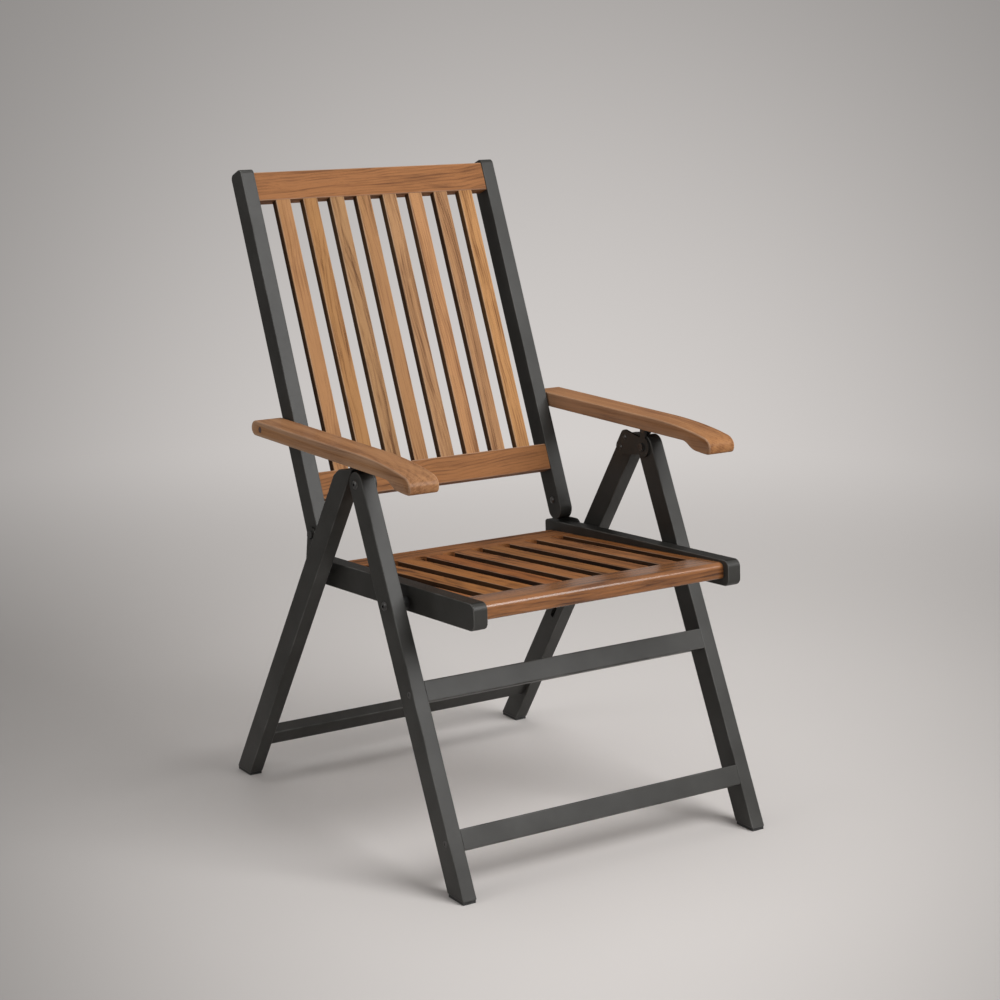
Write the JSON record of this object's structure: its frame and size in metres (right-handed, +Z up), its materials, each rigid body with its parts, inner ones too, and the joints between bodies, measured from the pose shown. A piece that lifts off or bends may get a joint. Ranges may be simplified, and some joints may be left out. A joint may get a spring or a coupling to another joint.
{
  "type": "folding garden chair",
  "caption": "Folding garden armchair with a painted bar frame, slatted wooden seat and high reclining back, and notched wooden arms that set the back's angle.",
  "frame": {"origin": "on the ground, under the middle of the open chair's width and depth", "axes": "+X across the chair to the right as seen from the front, -Y towards the front edge of the seat, +Z up"},
  "size_m": [0.614, 0.7823, 1.0411],
  "materials": {
    "frame_paint": "charcoal satin paint",
    "back_wood": "oiled",
    "seat_wood": "oiled",
    "arm_wood": "oiled, worn edges",
    "dark_steel": "black zinc",
    "black_plastic": "matt"
  },
  "bodies": {
    "front_frame": {"front_leg_left": "frame_paint", "front_leg_right": "frame_paint", "upper_stretcher": "frame_paint", "lower_stretcher": "frame_paint", "front_glides": "black_plastic", "front_stretcher_bolts": "dark_steel", "apex_bolts": "dark_steel", "apex_nuts": "dark_steel", "seat_pivot_bolts": "dark_steel", "seat_pivot_nuts": "dark_steel", "seat_pivot_washers": "black_plastic"},
    "rear_frame": {"rear_leg_left": "frame_paint", "rear_leg_right": "frame_paint", "rear_stretcher": "frame_paint", "rear_glides": "black_plastic", "apex_plate_left": "dark_steel", "apex_plate_right": "dark_steel", "latch_pins": "dark_steel", "apex_plate_screws": "dark_steel"},
    "seat": {"seat_rail_left": "frame_paint", "seat_rail_right": "frame_paint", "guide_studs": "dark_steel", "seat_front_rail": "seat_wood", "seat_rear_rail": "seat_wood", "seat_slat_1": "seat_wood", "seat_slat_2": "seat_wood", "seat_slat_3": "seat_wood", "seat_slat_4": "seat_wood", "seat_slat_5": "seat_wood", "seat_slat_6": "seat_wood", "seat_slat_7": "seat_wood", "seat_slat_8": "seat_wood", "seat_slat_9": "seat_wood", "hinge_plates": "dark_steel", "hinge_plate_screws": "dark_steel"},
    "back_bolt_pair": {"back_bolts": "dark_steel", "back_nuts": "dark_steel", "back_barrels": "dark_steel"},
    "back": {"back_stile_left": "frame_paint", "back_stile_right": "frame_paint", "back_top_rail": "back_wood", "back_bottom_rail": "back_wood", "back_slat_1": "back_wood", "back_slat_2": "back_wood", "back_slat_3": "back_wood", "back_slat_4": "back_wood", "back_slat_5": "back_wood", "back_slat_6": "back_wood", "back_slat_7": "back_wood", "back_slat_8": "back_wood"},
    "arm_pin_pair": {"arm_pins": "dark_steel"},
    "arm_bush_pair": {"arm_bushes": "dark_steel"},
    "arm_left_body": {"arm_left": "arm_wood", "arm_rack_left": "dark_steel", "rack_screws_left": "dark_steel"},
    "arm_right_body": {"arm_right": "arm_wood", "arm_rack_right": "dark_steel", "rack_screws_right": "dark_steel"}
  },
  "joints": [
    {"name": "fold", "type": "hinge", "parent": "front_frame", "child": "seat", "pos_m": [0, -0.16918, 0.412], "axis": [-1, 0, 0], "range_deg": [0, 105]},
    {"name": "rear_leg_swing", "type": "hinge", "parent": "front_frame", "child": "rear_frame", "pos_m": [0, -0.08383, 0.587], "axis": [-1, 0, 0], "range_deg": [0, 57.6]},
    {"name": "back_swing", "type": "hinge", "parent": "seat", "child": "back_bolt_pair", "pos_m": [0, 0.12876, 0.461], "axis": [1, 0, 0], "range_deg": [0, 102.5]},
    {"name": "recline", "type": "hinge", "parent": "back_bolt_pair", "child": "back", "pos_m": [0, 0.12876, 0.461], "axis": [-1, 0, 0], "range_deg": [0, 28]},
    {"name": "arm_follow_back", "type": "hinge", "parent": "back", "child": "arm_pin_pair", "pos_m": [0, 0.20189, 0.63], "axis": [1, 0, 0], "range_deg": [0, 19.4]},
    {"name": "arm_follow_fold", "type": "hinge", "parent": "arm_pin_pair", "child": "arm_bush_pair", "pos_m": [0, 0.20189, 0.63], "axis": [-1, 0, 0], "range_deg": [0, 116.1]},
    {"name": "arm_lift_left", "type": "hinge", "parent": "arm_bush_pair", "child": "arm_left_body", "pos_m": [0, 0.20189, 0.63], "axis": [-1, 0, 0], "range_deg": [-1.2, 80]},
    {"name": "arm_lift_right", "type": "hinge", "parent": "arm_bush_pair", "child": "arm_right_body", "pos_m": [0, 0.20189, 0.63], "axis": [-1, 0, 0], "range_deg": [-1.2, 80]}
  ],
  "couplings": [
    {"joint": "rear_leg_swing", "follows": "fold", "ratio": 0.5473},
    {"joint": "back_swing", "follows": "fold", "ratio": 0.9752},
    {"joint": "arm_follow_back", "follows": "recline", "ratio": 0.69},
    {"joint": "arm_follow_fold", "follows": "fold", "ratio": 1.1048}
  ]
}
